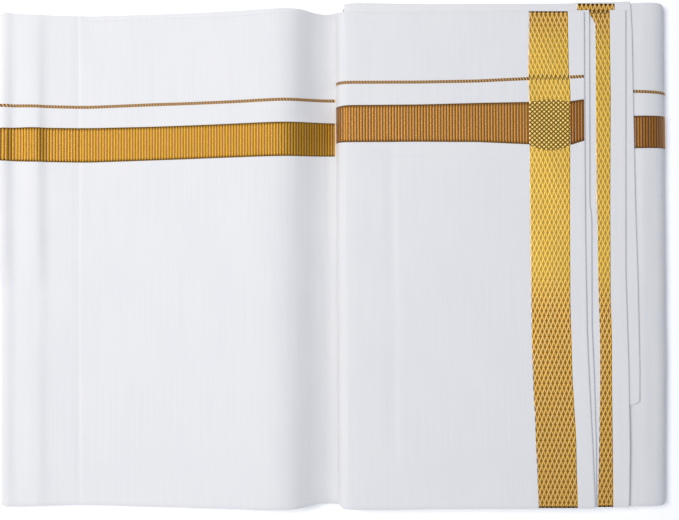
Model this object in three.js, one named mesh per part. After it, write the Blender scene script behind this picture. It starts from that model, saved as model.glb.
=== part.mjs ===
// A cotton dhoti with woven gold borders, folded into a flat pack and laid open like a book.
// Millimetres. +X runs to the right across the open pack, +Y to its back edge and +Z up.
// The pack lies on z = 0 and is centred on the origin.
//
// Every leaf is a section across the pack, carried from the front edge to the back edge as a wall.
// A border is made from its leaf's own points, moved out. The hidden layers fill the room under a
// leaf and show their folds as ridges round the sides.
import * as THREE from "three";

const LEAF_WALL = 1.3; // the cloth folded in four across its width
const GAP = 0.3; // between one piece and the next
const BORDER_LIFT = GAP; // from a leaf to the underside of a border on it
const BORDER_WALL = 0.5;

const OUTER_TOP = 3.0; // the outermost panels, which both halves lie on
const OUTER_HALF_LENGTH = 213.6;

const BASE_TOP = 13.0; // the lowest leaf of the right half
const LEAF_PITCH = LEAF_WALL + GAP;
const UNDER_TOP = BASE_TOP + LEAF_PITCH;
const SECOND_TOP = UNDER_TOP + LEAF_PITCH;
const INNER_TOP = SECOND_TOP + LEAF_PITCH;
const TOP_TOP = INNER_TOP + LEAF_PITCH;

const LINE_WIDTH = 1.8; // the thin woven line
const EPSILON = 1e-3; // the step that a normal is measured over

// Sections, from left to right: x across the pack and z up.
const LEFT_SECTION = [
  { x: -214.5, z: 7.3 },
  { x: -215.4, z: 8.7 },
  { x: -214.6, z: 10.3 },
  { x: -211.5, z: 11.4 },
  { x: -204.0, z: 11.2 },
  { x: -188.0, z: 9.6 },
  { x: -162.0, z: 8.2 },
  { x: -130.0, z: 9.2 },
  { x: -95.0, z: 12.3 },
  { x: -64.0, z: 16.9 },
  { x: -48.0, z: 19.6 },
  { x: -38.0, z: 20.6 },
  { x: -31.0, z: 20.1 },
  { x: -25.0, z: 18.4 },
  { x: -19.0, z: 15.5 },
  { x: -13.0, z: 12.2 },
  { x: -8.0, z: 9.8 },
  { x: -4.0, z: 8.2 },
  { x: 0.0, z: 7.3 },
  { x: 4.4, z: 7.0 },
];
const TOP_SECTION = [
  { x: 2.3, z: 8.0 },
  { x: 1.8, z: 10.6 },
  { x: 2.2, z: 13.8 },
  { x: 3.9, z: 17.0 },
  { x: 7.0, z: 19.1 },
  { x: 12.0, z: TOP_TOP + 0.2 },
  { x: 30.0, z: TOP_TOP },
  { x: 60.0, z: TOP_TOP },
  { x: 90.0, z: TOP_TOP },
  { x: 125.0, z: TOP_TOP },
  { x: 160.0, z: TOP_TOP },
];
const BASE_SECTION = [
  { x: 9.0, z: BASE_TOP },
  { x: 60.0, z: BASE_TOP },
  { x: 120.0, z: BASE_TOP },
  { x: 165.0, z: BASE_TOP },
  { x: 191.0, z: BASE_TOP },
  { x: 201.0, z: 12.8 },
  { x: 207.0, z: 11.8 },
  { x: 211.3, z: 9.8 },
  { x: 214.0, z: 7.0 },
  { x: 215.2, z: 5.1 },
  { x: 215.4, z: 3.7 },
];

// Where a leaf's front and back edges lie along the pack.
const OUTER_EDGES = [
  { x: -214, front: -160.6, back: 153.2 },
  { x: -15, front: -159.4, back: 153.2 },
  { x: 15, front: -159.4, back: 157.4 },
  { x: 214, front: -160.2, back: 159.8 },
];
const LEFT_EDGES = [
  { x: -215, front: -161.9, back: 155.9 },
  { x: -200, front: -161.5, back: 154.8 },
  { x: -160, front: -161.3, back: 154.3 },
  { x: -130, front: -162.0, back: 154.9 },
  { x: -85, front: -162.1, back: 155.4 },
  { x: -22, front: -161.5, back: 156.5 },
  { x: -12, front: -159.6, back: 154.9 },
  { x: -4, front: -160.2, back: 155.0 },
  { x: 3, front: -160.9, back: 157.3 },
  { x: 5, front: -161.0, back: 157.3 },
];
const TOP_EDGES = [
  { x: 2, front: -161.6, back: 154.6 },
  { x: 25, front: -161.9, back: 154.2 },
  { x: 65, front: -161.3, back: 154.2 },
  { x: 125, front: -161.1, back: 154.7 },
  { x: 166, front: -160.8, back: 154.9 },
];
const BASE_EDGES = [
  { x: 9, front: -160.2, back: 159.2 },
  { x: 150, front: -160.2, back: 159.8 },
  { x: 190, front: -160.9, back: 161.3 },
  { x: 206, front: -161.1, back: 162.1 },
  { x: 215, front: -161.2, back: 161.9 },
];
const UNDER_EDGES = [
  { x: 6, front: -160.4, back: 160.6 },
  { x: 13, front: -160.4, back: 161.2 },
  { x: 60, front: -160.4, back: 160.5 },
  { x: 152, front: -160.4, back: 160.8 },
  { x: 156, front: -160.4, back: 161.4 },
  { x: 180, front: -160.4, back: 161.8 },
  { x: 190, front: -160.4, back: 162.2 },
];
const SECOND_EDGES = [
  { x: 6, front: -160.6, back: 155.4 },
  { x: 150, front: -160.6, back: 156.1 },
  { x: 190, front: -161.0, back: 156.5 },
];
const INNER_EDGES = [
  { x: 14, front: -160.4, back: 153.6 },
  { x: 167, front: -160.4, back: 154.4 },
];

// Where a leaf's left and right ends lie from the front of the pack to its back.
const LEFT_ENDS = [
  { y: -162, start: -213.5, end: 4.4 },
  { y: -60, start: -214.1, end: 4.4 },
  { y: 90, start: -213.8, end: 4.4 },
  { y: 156, start: -213.5, end: 4.4 },
];
const TOP_ENDS = [
  { y: -162, start: 2.8, end: 165.7 },
  { y: -124, start: 2.7, end: 164.1 },
  { y: -73, start: 2.3, end: 161.5 },
  { y: -48, start: 2.2, end: 160.4 },
  { y: 22, start: 2.0, end: 159.3 },
  { y: 155, start: 1.6, end: 158.5 },
];
const BASE_ENDS = [
  { y: -161, start: 9.0, end: 215.4 },
  { y: -73, start: 9.0, end: 215.8 },
  { y: 80, start: 9.0, end: 214.6 },
  { y: 161, start: 9.0, end: 214.0 },
];
const UNDER_ENDS = [
  { y: -161, start: 6.5, end: 184.0 },
  { y: -96.4, start: 6.5, end: 184.0 },
  { y: -95.6, start: 6.5, end: 192.6 },
  { y: -93.6, start: 6.5, end: 195.3 },
  { y: -73, start: 6.5, end: 195.4 },
  { y: -10, start: 6.5, end: 194.0 },
  { y: 35, start: 6.5, end: 192.5 },
  { y: 99, start: 6.5, end: 191.2 },
  { y: 144, start: 6.5, end: 190.3 },
  { y: 162, start: 6.5, end: 189.3 },
];
const SECOND_ENDS = [
  { y: -161, start: 6.5, end: 188.2 },
  { y: -124, start: 6.5, end: 188.7 },
  { y: -74, start: 6.5, end: 187.9 },
  { y: -10, start: 6.5, end: 185.9 },
  { y: 156, start: 6.5, end: 185.9 },
];
const INNER_ENDS = [
  { y: -161, start: 14.0, end: 166.9 },
  { y: -120, start: 14.0, end: 166.6 },
  { y: -76, start: 14.0, end: 165.3 },
  { y: -45, start: 14.0, end: 163.9 },
  { y: 24, start: 14.0, end: 163.7 },
  { y: 33, start: 14.0, end: 162.5 },
  { y: 154, start: 14.0, end: 162.3 },
];

// The borders: front and back edges of the bands, the middle of the lines, and the stripes' sides.
const LEFT_BORDERS = [
  { x: -215, front: 60.8, back: 81.5, line: 96.1 },
  { x: -200, front: 60.2, back: 82.0, line: 95.9 },
  { x: -160, front: 59.9, back: 81.9, line: 95.5 },
  { x: -118, front: 61.1, back: 82.6, line: 96.9 },
  { x: -75, front: 62.2, back: 83.5, line: 97.6 },
  { x: -22, front: 63.2, back: 84.7, line: 98.9 },
  { x: 2, front: 64.0, back: 85.1, line: 99.8 },
];
const TOP_BORDERS = [
  { x: 2, front: 71.8, back: 94.3, line: 109.5 },
  { x: 8, front: 71.8, back: 95.1, line: 109.7 },
  { x: 54, front: 72.1, back: 95.5, line: 109.9 },
  { x: 92, front: 71.9, back: 96.5, line: 110.6 },
  { x: 124, front: 70.5, back: 97.1, line: 112.1 },
  { x: 150, front: 69.6, back: 97.4, line: 113.0 },
  { x: 160, front: 73.0, back: 99.0, line: 113.6 },
];
const BASE_BORDERS = [
  { x: 190, front: 68.6, back: 89.2, line: 105.1 },
  { x: 216, front: 69.1, back: 89.5, line: 104.5 },
];
const TOP_STRIPE = [
  { y: -162, left: 129.9, right: 154.6 },
  { y: -138, left: 128.9, right: 154.0 },
  { y: -119, left: 128.0, right: 153.7 },
  { y: -100, left: 127.3, right: 152.6 },
  { y: -81, left: 126.2, right: 151.4 },
  { y: -56, left: 125.5, right: 150.6 },
  { y: -30, left: 124.9, right: 149.9 },
  { y: 33, left: 124.4, right: 149.6 },
  { y: 102, left: 123.5, right: 150.0 },
  { y: 118, left: 123.2, right: 148.9 },
  { y: 156, left: 123.6, right: 148.2 },
];
const SECOND_STRIPE = [
  { y: -161, left: 168.2, right: 178.0 },
  { y: -119, left: 169.1, right: 177.7 },
  { y: -81, left: 169.7, right: 177.2 },
  { y: -56, left: 169.6, right: 177.2 },
  { y: -30, left: 168.8, right: 176.4 },
  { y: 33, left: 167.5, right: 176.1 },
  { y: 102, left: 166.9, right: 176.4 },
  { y: 148, left: 166.4, right: 175.7 },
  { y: 151, left: 164.9, right: 175.7 },
  { y: 153.5, left: 162.8, right: 175.7 },
  { y: 157, left: 162.6, right: 175.7 },
];
const UNDER_STRIPE = { left: 155.3, right: 179.3, front: 156.7, back: 161.0 };

// The ridges round the hidden layers: share of the height, and how far in from the outline.
const RIDGES = [
  { share: 0.0, inset: 1.6 },
  { share: 0.11, inset: 0.3 },
  { share: 0.22, inset: 1.4 },
  { share: 0.34, inset: 0.5 },
  { share: 0.44, inset: 1.5 },
  { share: 0.53, inset: 0.4 },
  { share: 0.66, inset: 3.4 },
  { share: 1.0, inset: 3.8 },
];
const FULL_RIDGE_HEIGHT = 5; // layers thinner than this show shallower ridges
const OUTER_RIM = [
  { share: 0.0, inset: 1.5 },
  { share: 0.25, inset: 0.0 },
  { share: 0.5, inset: 1.0 },
  { share: 0.75, inset: 0.2 },
  { share: 1.0, inset: 1.2 },
];

const COTTON = { color: 0xe6e9f0, roughness: 0.9, metalness: 0.0 };
const ZARI = { color: 0xb98a35, roughness: 0.45, metalness: 0.6 };

const { lerp, clamp } = THREE.MathUtils;

// The value of a table's column at a place along its key column, in straight lines between the rows.
function read(table, key, place, column) {
  const rising = table.findIndex((row) => row[key] > place);
  if (rising === 0) return table[0][column];
  if (rising < 0) return table.at(-1)[column];
  const [a, b] = [table[rising - 1], table[rising]];
  return lerp(a[column], b[column], (place - a[key]) / (b[key] - a[key]));
}

// Evenly spaced numbers from first to last.
function spread(first, last, count) {
  return Array.from({ length: count + 1 }, (_, i) => lerp(first, last, i / count));
}

// How far an edge draws in at a distance from the end of a leaf, so that its corner is an arc.
function cornerInset(distance, radius) {
  const short = clamp(radius - distance, 0, radius);
  return radius - Math.sqrt(radius * radius - short * short);
}

// A leaf's upper surface: u runs along its section and v from its front edge to its back edge.
function leafSurface({ section, edges, ends, startCorner = 0, endCorner = 0 }) {
  const curve = new THREE.CatmullRomCurve3(
    section.map(({ x, z }) => new THREE.Vector3(x, 0, z)),
    false,
    "centripetal",
  );
  const first = section[0].x;
  const last = section.at(-1).x;
  return (u, v) => {
    const { x, z } = curve.getPoint(clamp(u, 0, 1));
    const inset = cornerInset(Math.abs(x - first), startCorner) + cornerInset(Math.abs(last - x), endCorner);
    const front = read(edges, "x", x, "front") + inset;
    const back = read(edges, "x", x, "back") - inset;
    const y = lerp(front, back, v);
    const toStart = read(ends, "y", y, "start") - first;
    const toEnd = read(ends, "y", y, "end") - last;
    return new THREE.Vector3(x + lerp(toStart, toEnd, (x - first) / (last - first)), y, z);
  };
}

// The strip of a leaf between two lines along it: w runs from one line to the other.
function stripOf(surface, edgeLines) {
  return (u, w) => {
    const front = surface(u, 0);
    const back = surface(u, 1);
    const middle = surface(u, 0.5);
    const [low, high] = edgeLines(middle.x);
    return surface(u, (lerp(low, high, w) - front.y) / (back.y - front.y));
  };
}

// A flat stripe from front to back, at one height, between a left and a right side.
function stripeSurface(sides, front, back, z) {
  return (u, v) => {
    const y = lerp(front, back, v);
    const [left, right] = sides(y);
    return new THREE.Vector3(lerp(left, right, u), y, z);
  };
}

// A surface's points on a grid, moved out along its normals.
function movedOut(surface, us, vs, distance) {
  return us.map((u) =>
    vs.map((v) => {
      const alongU = surface(u + EPSILON, v).sub(surface(u - EPSILON, v));
      const alongV = surface(u, v + EPSILON).sub(surface(u, v - EPSILON));
      const normal = alongU.cross(alongV).normalize();
      return surface(u, v).addScaledVector(normal, distance);
    }),
  );
}

// The whole numbers from first to last, either way.
function count(first, last) {
  const way = Math.sign(last - first) || 1;
  return Array.from({ length: Math.abs(last - first) + 1 }, (_, i) => first + way * i);
}

// The indices of a grid's outline, once round, against the clock seen from above.
function outline(rows, columns) {
  const front = count(0, rows - 1).map((i) => [i, 0]);
  const right = count(1, columns - 1).map((j) => [rows - 1, j]);
  const back = count(rows - 2, 0).map((i) => [i, columns - 1]);
  const left = columns > 2 ? count(columns - 2, 1).map((j) => [0, j]) : [];
  return [...front, ...right, ...back, ...left];
}

// A closed solid from a top grid, a bottom grid and the rings round its side, from the bottom up.
function closedSolid(top, bottom, rings) {
  const positions = [];
  const put = (point) => positions.push(point.x, point.y, point.z) / 3 - 1;
  const upper = top.map((line) => line.map(put));
  const lower = bottom.map((line) => line.map(put));
  const way = outline(top.length, top[0].length);
  const levels = [
    way.map(([i, j]) => lower[i][j]),
    ...rings.map((ring) => ring.map(put)),
    way.map(([i, j]) => upper[i][j]),
  ];
  const faces = [];
  const quad = (a, b, c, d) => faces.push(a, b, c, a, c, d);
  for (let i = 0; i + 1 < top.length; i += 1) {
    for (let j = 0; j + 1 < top[0].length; j += 1) {
      quad(upper[i][j], upper[i + 1][j], upper[i + 1][j + 1], upper[i][j + 1]);
      quad(lower[i][j], lower[i][j + 1], lower[i + 1][j + 1], lower[i + 1][j]);
    }
  }
  for (let k = 0; k + 1 < levels.length; k += 1) {
    way.forEach((_, a) => {
      const b = (a + 1) % way.length;
      quad(levels[k][a], levels[k][b], levels[k + 1][b], levels[k + 1][a]);
    });
  }
  const geometry = new THREE.BufferGeometry();
  geometry.setAttribute("position", new THREE.Float32BufferAttribute(positions, 3));
  geometry.setIndex(faces);
  geometry.computeVertexNormals();
  return geometry;
}

// A wall between two distances out from a surface.
function wall(surface, us, vs, inner, outer) {
  return closedSolid(movedOut(surface, us, vs, outer), movedOut(surface, us, vs, inner), []);
}

// The share of the whole way sideways that each line of a grid has come.
function sidewaysShares(grid) {
  const travelled = [0];
  for (let i = 1; i < grid.length; i += 1) {
    const step = Math.abs(grid[i][0].x - grid[i - 1][0].x);
    travelled.push(travelled.at(-1) + step);
  }
  return travelled.map((way) => way / travelled.at(-1));
}

// Hidden layers: a solid from a flat floor up to a grid of points, with ridges round its side.
// A rolled end is covered by its leaf, so the ridges fade out there.
function layers(topGrid, floor, ridges, rolledRight) {
  const shares = sidewaysShares(topGrid);
  const lastRow = topGrid.length - 1;
  const lastColumn = topGrid[0].length - 1;
  const place = (i, j, { share, inset }) => {
    const top = topGrid[i][j];
    const below = lerp(topGrid[0][j].x, topGrid[lastRow][j].x, shares[i]);
    const point = new THREE.Vector3(below, top.y, floor).lerp(top, share);
    const fade = clamp((top.z - floor) / FULL_RIDGE_HEIGHT, 0, 1);
    const inwardX = (i === 0) - (i === lastRow && !rolledRight);
    const inwardY = (j === 0) - (j === lastColumn);
    point.x += inwardX * (inset - ridges.at(-1).inset) * fade;
    point.y += inwardY * (inset - ridges.at(-1).inset) * fade;
    return point;
  };
  const levels = ridges.map((ridge) => (i, j) => place(i, j, ridge));
  const grid = (level) => topGrid.map((line, i) => line.map((_, j) => level(i, j)));
  const way = outline(topGrid.length, topGrid[0].length);
  const rings = levels.slice(1, -1).map((level) => way.map(([i, j]) => level(i, j)));
  return closedSolid(grid(levels.at(-1)), grid(levels[0]), rings);
}

function piece(name, geometry, look) {
  const mesh = new THREE.Mesh(geometry, new THREE.MeshStandardMaterial(look));
  mesh.name = name;
  return mesh;
}

// A leaf that lies flat between its two ends.
function flatLeaf(name, { edges, ends, z, rows }) {
  const section = [edges[0].x, 60, 120, edges.at(-1).x].map((x) => ({ x, z }));
  const surface = leafSurface({ section, edges, ends });
  return piece(name, wall(surface, spread(0, 1, 9), rows, -LEAF_WALL, 0), COTTON);
}

const LEAF_ROWS = spread(0, 1, 5);
const FILLING_ROWS = spread(0.0125, 0.9875, 5); // the hidden layers stop short of a leaf's edges
const rowsAt = (front, back, stations) => stations.map((y) => clamp((y - front) / (back - front), 0, 1));

function outerLayers() {
  const surface = leafSurface({
    section: [-OUTER_HALF_LENGTH, -15, 15, OUTER_HALF_LENGTH].map((x) => ({ x, z: OUTER_TOP })),
    edges: OUTER_EDGES,
    ends: [{ y: 0, start: -OUTER_HALF_LENGTH, end: OUTER_HALF_LENGTH }],
    startCorner: 5,
    endCorner: 5,
  });
  const us = [0, 0.002, 0.008, 0.15, 1 / 3, 0.5, 2 / 3, 0.85, 0.992, 0.998, 1];
  const grid = movedOut(surface, us, LEAF_ROWS, 0);
  return piece("outer_layers", layers(grid, 0, OUTER_RIM, false), COTTON);
}

function borderStrips(surface, borders, us, names) {
  const band = stripOf(surface, (x) => [read(borders, "x", x, "front"), read(borders, "x", x, "back")]);
  const line = stripOf(surface, (x) => {
    const middle = read(borders, "x", x, "line");
    return [middle - LINE_WIDTH / 2, middle + LINE_WIDTH / 2];
  });
  return [band, line].map((strip, k) =>
    piece(names[k], wall(strip, us, [0, 1], BORDER_LIFT, BORDER_LIFT + BORDER_WALL), ZARI),
  );
}

function leftHalf() {
  const surface = leafSurface({
    section: LEFT_SECTION,
    edges: LEFT_EDGES,
    ends: LEFT_ENDS,
    startCorner: 3,
  });
  const stations = spread(0, 1, 51);
  const leaf = wall(surface, stations, LEAF_ROWS, -LEAF_WALL, 0);
  const filling = movedOut(surface, stations.slice(9, -1), FILLING_ROWS, -LEAF_WALL - GAP);
  return [
    piece("left_layers", layers(filling, OUTER_TOP + GAP, RIDGES, false), COTTON),
    piece("left_leaf", leaf, COTTON),
    ...borderStrips(surface, LEFT_BORDERS, spread(0.02, 0.955, 50), ["left_band", "left_line"]),
  ];
}

function baseLeaf() {
  const surface = leafSurface({
    section: BASE_SECTION,
    edges: BASE_EDGES,
    ends: BASE_ENDS,
    endCorner: 4,
  });
  const stations = spread(0, 1, 30);
  const leaf = wall(surface, stations, LEAF_ROWS, -LEAF_WALL, 0);
  const filling = movedOut(surface, stations.slice(0, -1), FILLING_ROWS, -LEAF_WALL - GAP);
  return [
    piece("right_layers", layers(filling, OUTER_TOP + GAP, RIDGES, true), COTTON),
    piece("base_leaf", leaf, COTTON),
    ...borderStrips(surface, BASE_BORDERS, spread(0.425, 0.98, 16), ["base_band", "base_line"]),
  ];
}

function underLeaf() {
  const [front, back] = [UNDER_EDGES[0].front, UNDER_EDGES.at(-1).back];
  const rows = rowsAt(front, back, [-161, -96.4, -95.6, -93.6, -73, -10, 35, 99, 144, 163]);
  const { left, right, front: near, back: far } = UNDER_STRIPE;
  const stripe = stripeSurface(() => [left, right], near, far, UNDER_TOP);
  const strip = wall(stripe, [0, 1], [0, 1], BORDER_LIFT, BORDER_LIFT + BORDER_WALL);
  return [
    flatLeaf("under_leaf", { edges: UNDER_EDGES, ends: UNDER_ENDS, z: UNDER_TOP, rows }),
    piece("under_stripe", strip, ZARI),
  ];
}

// A cross stripe over the whole of a leaf, with a row at each row of its table.
function crossStripe(name, sides, edges, z) {
  const { front, back } = edges.at(-1);
  const surface = stripeSurface((y) => [read(sides, "y", y, "left"), read(sides, "y", y, "right")], front, back, z);
  const rows = rowsAt(front, back, sides.map(({ y }) => y));
  return piece(name, wall(surface, [0, 1], rows, BORDER_LIFT, BORDER_LIFT + BORDER_WALL), ZARI);
}

function secondLeaf() {
  return [
    flatLeaf("second_leaf", { edges: SECOND_EDGES, ends: SECOND_ENDS, z: SECOND_TOP, rows: LEAF_ROWS }),
    crossStripe("second_stripe", SECOND_STRIPE, SECOND_EDGES, SECOND_TOP),
    flatLeaf("inner_leaf", { edges: INNER_EDGES, ends: INNER_ENDS, z: INNER_TOP, rows: LEAF_ROWS }),
  ];
}

function topLeaf() {
  const surface = leafSurface({
    section: TOP_SECTION,
    edges: TOP_EDGES,
    ends: TOP_ENDS,
    startCorner: 3.5,
  });
  const leaf = wall(surface, spread(0, 1, 40), LEAF_ROWS, -LEAF_WALL, 0);
  return [
    piece("top_leaf", leaf, COTTON),
    ...borderStrips(surface, TOP_BORDERS, spread(0.03, 0.893, 26), ["top_band", "top_line"]),
    ...borderStrips(surface, TOP_BORDERS, spread(0.977, 1, 1), ["top_band_end", "top_line_end"]),
    crossStripe("top_stripe", TOP_STRIPE, TOP_EDGES, TOP_TOP),
  ];
}

const dhoti = new THREE.Group();
dhoti.add(outerLayers(), ...leftHalf(), ...baseLeaf(), ...underLeaf(), ...secondLeaf(), ...topLeaf());
export default dhoti;
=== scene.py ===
"""A cotton dhoti with woven gold borders, folded into a flat pack and laid open like a book.

+X runs to the right across the open pack, +Y to its back edge and +Z up, as in the frame. Tables and
sizes are in millimetres, and a mesh is in metres. Each leaf is a thin closed shell: a section across
the pack, carried from its front edge to its back edge, with creases laid along it. The borders are
woven relief on their leaf's own surface. The layers that no one sees are three stacks, whose sides
show the folded edges of their panels.
"""

import logging
import math
from dataclasses import dataclass
from enum import Enum
from functools import cached_property
from typing import Callable, NamedTuple, Sequence

import bpy
import numpy as np
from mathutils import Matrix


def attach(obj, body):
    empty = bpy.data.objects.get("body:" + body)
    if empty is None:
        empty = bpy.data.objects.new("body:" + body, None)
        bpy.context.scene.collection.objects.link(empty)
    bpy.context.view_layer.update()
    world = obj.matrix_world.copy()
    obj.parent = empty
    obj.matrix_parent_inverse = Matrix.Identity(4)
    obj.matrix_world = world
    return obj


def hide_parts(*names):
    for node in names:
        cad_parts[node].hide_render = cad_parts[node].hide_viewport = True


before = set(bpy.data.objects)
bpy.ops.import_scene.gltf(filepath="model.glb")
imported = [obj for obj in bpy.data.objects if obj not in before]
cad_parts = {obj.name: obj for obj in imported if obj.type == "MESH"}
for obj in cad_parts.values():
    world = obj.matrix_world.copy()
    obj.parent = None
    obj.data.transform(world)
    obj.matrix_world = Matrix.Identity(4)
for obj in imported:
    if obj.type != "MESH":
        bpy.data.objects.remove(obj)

LOG = logging.getLogger("dhoti")
MM = 0.001
BODY = "root"
WEAVE_MAP = "weave"

LEAF_WALL = 1.3  # the cloth folded in four across its width
GAP = 0.3  # between one leaf and the next
BORDER_LIFT = 0.12  # how far woven gold stands out from the cotton
BORDER_SINK = 0.15  # how far its underside lies in the cotton
LEAF_PITCH = LEAF_WALL + GAP
FLOOR_DROP = 0.2  # how far the floor lies below the pack

OUTER_TOP = 3.0  # the upper side of the outermost panels
BASE_TOP = 13.0  # the level part of each right leaf's upper side, from the lowest up
UNDER_TOP = BASE_TOP + LEAF_PITCH
SECOND_TOP = UNDER_TOP + LEAF_PITCH
INNER_TOP = SECOND_TOP + LEAF_PITCH
TOP_TOP = INNER_TOP + LEAF_PITCH
KNOTS = (60.0, 120.0)  # where a level leaf's section has points between its ends

DIAMOND_WIDTH = 2.78  # one diamond of a stripe's lattice
DIAMOND_HEIGHT = 6.6
HATCH_WIDTH = 3.0  # one dotted square where a band crosses a stripe
HATCH_HEIGHT = 2.8
HATCH_SHARE = DIAMOND_HEIGHT / HATCH_HEIGHT

Array = np.ndarray
Point = tuple[float, float]
Colour = tuple[float, float, float, float]
CloseUp = tuple[float, float, float]
Material = bpy.types.Material


class Slot(Enum):
    """The record's two materials."""

    COTTON = "cotton"
    ZARI = "zari"


def srgb(red: int, green: int, blue: int) -> Colour:
    """A linear colour from screen values.

    Args:
        red, green, blue: Screen values from 0 to 255.

    Returns:
        The linear colour, opaque.
    """
    def linear(value: float) -> float:
        """One channel made linear."""
        return value / 12.92 if value <= 0.04045 else ((value + 0.055) / 1.055) ** 2.4

    return (linear(red / 255), linear(green / 255), linear(blue / 255), 1.0)


# ---------------------------------------------------------------------------------------------------
# Nodes and formulas that work on sockets and on arrays alike


class Value:
    """A number in a material's nodes. Arithmetic on it adds Math nodes."""

    def __init__(self, nodes: "Nodes", socket: bpy.types.NodeSocket) -> None:
        """Keeps the socket and the nodes it belongs to."""
        self.nodes = nodes
        self.socket = socket

    def maths(self, operation: str, *terms: "Term") -> "Value":
        """One Math node.

        Args:
            operation: The Math node's operation.
            terms: Its inputs in order.

        Returns:
            The node's result.
        """
        node = self.nodes.add("ShaderNodeMath", {"operation": operation}, dict(enumerate(terms)))
        return Value(self.nodes, node.outputs[0])

    def __add__(self, other: "Term") -> "Value":
        """Sum."""
        return self.maths("ADD", self, other)

    def __radd__(self, other: "Term") -> "Value":
        """Sum, from the right."""
        return self.maths("ADD", other, self)

    def __sub__(self, other: "Term") -> "Value":
        """Difference."""
        return self.maths("SUBTRACT", self, other)

    def __rsub__(self, other: "Term") -> "Value":
        """Difference, from the right."""
        return self.maths("SUBTRACT", other, self)

    def __mul__(self, other: "Term") -> "Value":
        """Product."""
        return self.maths("MULTIPLY", self, other)

    def __rmul__(self, other: "Term") -> "Value":
        """Product, from the right."""
        return self.maths("MULTIPLY", other, self)

    def __truediv__(self, other: "Term") -> "Value":
        """Quotient."""
        return self.maths("DIVIDE", self, other)

    def __rtruediv__(self, other: "Term") -> "Value":
        """Quotient, from the right."""
        return self.maths("DIVIDE", other, self)


Term = Value | Array | float


def either(operation: str, rule: Callable[..., Array], *terms: Term) -> Term:
    """One operation, by a Math node on sockets or by numpy on arrays.

    Args:
        operation: The Math node's operation.
        rule: The same operation on arrays.
        terms: What it works on.

    Returns:
        A value or an array, as the terms are.
    """
    wired = next((term for term in terms if isinstance(term, Value)), None)
    return rule(*terms) if wired is None else wired.maths(operation, *terms)


def fract(term: Term) -> Term:
    """What is left of a number above the whole number below it."""
    return either("FRACT", lambda a: a - np.floor(a), term)


def floor(term: Term) -> Term:
    """The whole number below."""
    return either("FLOOR", np.floor, term)


def size_of(term: Term) -> Term:
    """The number without its sign."""
    return either("ABSOLUTE", np.abs, term)


def least(first: Term, second: Term) -> Term:
    """The smaller of two."""
    return either("MINIMUM", np.minimum, first, second)


def most(first: Term, second: Term) -> Term:
    """The larger of two."""
    return either("MAXIMUM", np.maximum, first, second)


def wave(term: Term) -> Term:
    """A cosine wave from 0 to 1, at its crest on whole numbers."""
    return either("COSINE", np.cos, term * (2 * math.pi)) * 0.5 + 0.5


def ease(term: Term, low: float, high: float) -> Term:
    """A soft step: 0 below low, 1 above high, and 3t^2 - 2t^3 in between.

    Args:
        term: The number.
        low: Where the step starts.
        high: Where it ends, which may be below low for a falling step.

    Returns:
        The step's height, from 0 to 1.
    """
    share = least(most((term - low) / (high - low), 0.0), 1.0)
    return share * share * (3.0 - 2.0 * share)


class Nodes:
    """The nodes of one material, round a single Principled shader."""

    def __init__(self, name: str) -> None:
        """An empty material with its output."""
        self.material = bpy.data.materials.new(name)
        self.material.use_nodes = True
        self.tree = self.material.node_tree
        self.tree.nodes.clear()

    def add(self, kind: str, settings: dict, inputs: dict) -> bpy.types.Node:
        """One node.

        Args:
            kind: The node's type.
            settings: Its settings, set first.
            inputs: What goes to each input, by its name or number: a number, a value or a socket.

        Returns:
            The node.
        """
        node = self.tree.nodes.new(kind)
        for name, setting in settings.items():
            setattr(node, name, setting)
        for place, term in inputs.items():
            if isinstance(term, Value):
                self.tree.links.new(term.socket, node.inputs[place])
            elif isinstance(term, bpy.types.NodeSocket):
                self.tree.links.new(term, node.inputs[place])
            else:
                node.inputs[place].default_value = term
        return node

    def weave_place(self) -> tuple[Value, Value]:
        """The place on the piece's weave map.

        Returns:
            Its two coordinates.
        """
        held = self.add("ShaderNodeUVMap", {"uv_map": WEAVE_MAP}, {})
        parts = self.add("ShaderNodeSeparateXYZ", {}, {0: held.outputs[0]})
        return Value(self, parts.outputs[0]), Value(self, parts.outputs[1])

    def noise(self, across: Term, along: Term, detail: float = 2.0) -> Value:
        """Soft noise from 0 to 1.

        Args:
            across: The first coordinate, in spots.
            along: The second coordinate, in spots.
            detail: How many finer layers it has.

        Returns:
            The noise.
        """
        place = self.add("ShaderNodeCombineXYZ", {}, {0: across, 1: along})
        made = self.add(
            "ShaderNodeTexNoise",
            {"noise_dimensions": "2D"},
            {"Vector": place.outputs[0], "Scale": 1.0, "Detail": detail},
        )
        return Value(self, made.outputs[0])

    def blend(self, share: Term, first: "Colour | bpy.types.NodeSocket",
              second: "Colour | bpy.types.NodeSocket") -> bpy.types.NodeSocket:
        """A mix of two colours.

        Args:
            share: How much of the second colour.
            first: The colour at 0.
            second: The colour at 1.

        Returns:
            The mixed colour's socket.
        """
        made = self.add("ShaderNodeMix", {"data_type": "RGBA"}, {0: share, 6: first, 7: second})
        return made.outputs[2]

    def finish(self, colour: bpy.types.NodeSocket, height: Value, depth: float,
               **constants: float) -> Material:
        """Joins the shader, its bump and the output.

        Args:
            colour: The base colour.
            height: The bump's height, from 0 to 1.
            depth: How deep that is, in millimetres.
            constants: The shader's other sockets, with underscores for spaces in their names.

        Returns:
            The material.
        """
        bump = self.add("ShaderNodeBump", {}, {"Height": height, "Distance": depth * MM, "Strength": 1.0})
        inputs = {name.replace("_", " "): term for name, term in constants.items()}
        inputs |= {"Base Color": colour, "Normal": bump.outputs[0]}
        shader = self.add("ShaderNodeBsdfPrincipled", {}, inputs)
        self.add("ShaderNodeOutputMaterial", {}, {"Surface": shader.outputs[0]})
        return self.material


# ---------------------------------------------------------------------------------------------------
# Weaves: each formula makes a relief in a mesh and a mask in a material


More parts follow.
